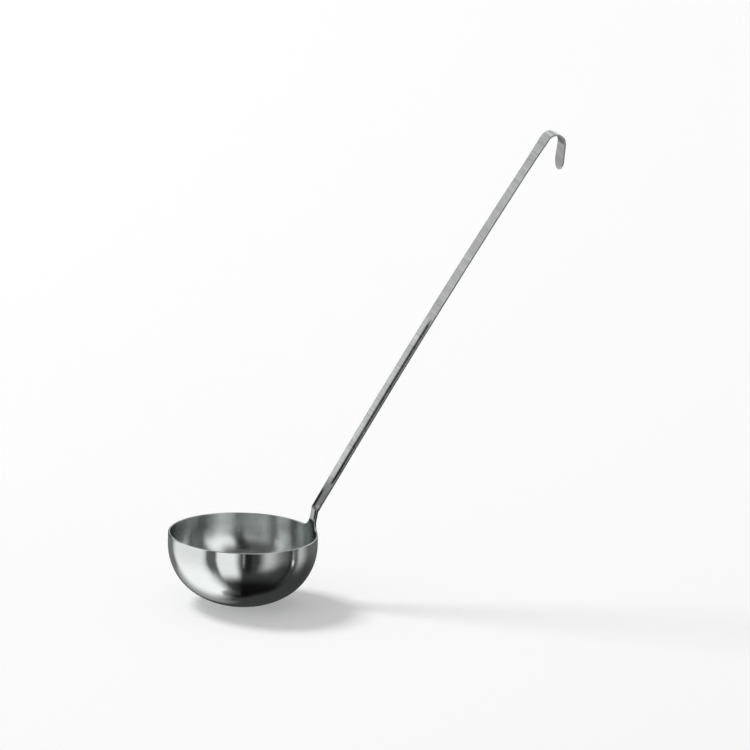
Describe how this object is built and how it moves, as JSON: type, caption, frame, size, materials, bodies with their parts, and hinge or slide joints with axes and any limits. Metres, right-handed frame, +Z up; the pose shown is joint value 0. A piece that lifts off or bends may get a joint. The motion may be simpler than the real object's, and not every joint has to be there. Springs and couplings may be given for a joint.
{
  "type": "soup ladle",
  "caption": "Stainless soup ladle: deep round bowl with a drawn neck, a weld seam and a long leaning strip handle with a pressed gutter and a hook at its top.",
  "frame": {"origin": "middle of the small flat foot under the bowl, on the bowl's axis", "axes": "+Z up along the bowl's axis, square to the rim; +X from the bowl's axis towards the neck and the handle, which leans out over +X; +Y across the handle"},
  "size_m": [0.2702, 0.1, 0.3101],
  "materials": {
    "polished_steel": "polished",
    "ground_weld": "ground",
    "brushed_steel": "brushed across"
  },
  "bodies": {
    "root": {"bowl": "polished_steel", "weld_seam": "ground_weld", "handle": "brushed_steel"}
  },
  "joints": []
}
